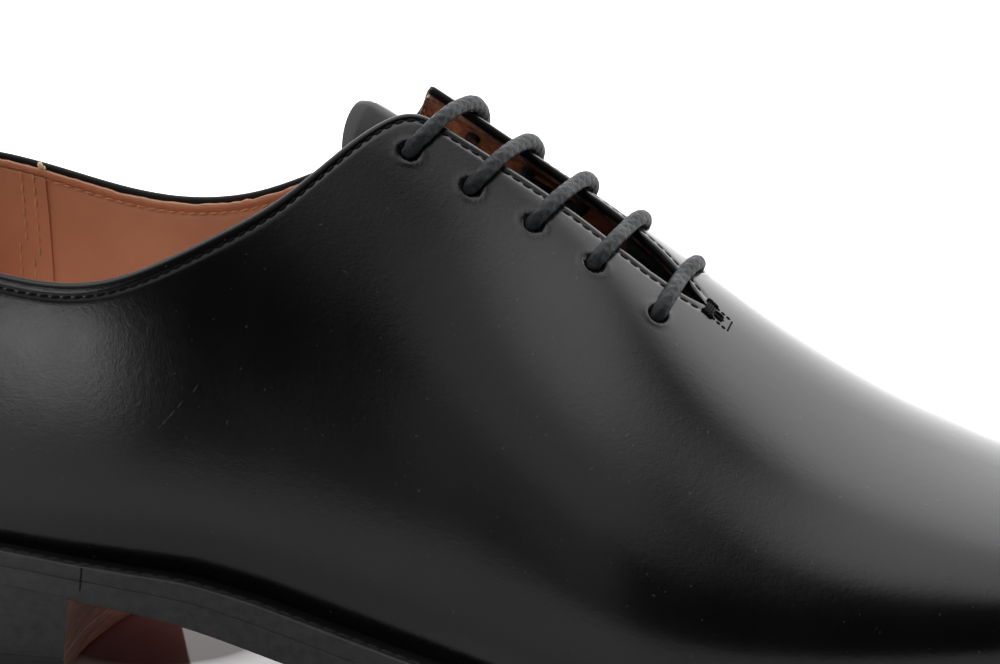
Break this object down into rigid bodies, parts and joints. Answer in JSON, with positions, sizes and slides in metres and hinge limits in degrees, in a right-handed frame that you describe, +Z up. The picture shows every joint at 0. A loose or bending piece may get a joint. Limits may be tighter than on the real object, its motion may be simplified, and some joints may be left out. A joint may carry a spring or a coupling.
{
  "type": "wholecut oxford shoe",
  "caption": "Right-foot dress shoe with a whole cut leather upper, laced over a closed throat, on a welted leather sole with a stacked heel.",
  "frame": {"origin": "on the floor, under the middle of the outsole's box", "axes": "+X from the heel to the toe, +Y to the medial side, +Z up"},
  "size_m": [0.302, 0.1016, 0.1137],
  "materials": {
    "upper_leather": "black box calf, polished, soft gloss",
    "lining_leather": "smooth tan lining calf",
    "lace": "round waxed cotton, black",
    "sole_edge": "stacked leather, edges stained black and burnished",
    "sole_leather": "red-brown sole leather",
    "top_piece": "black rubber, matt"
  },
  "bodies": {
    "root": {"upper": "upper_leather", "tongue": "upper_leather", "lace": "lace", "insole": "lining_leather", "welt": "sole_edge", "outsole": "sole_leather", "heel_lift_1": "sole_edge", "heel_lift_2": "sole_edge", "heel_lift_3": "sole_edge", "top_piece": "top_piece"}
  },
  "joints": []
}
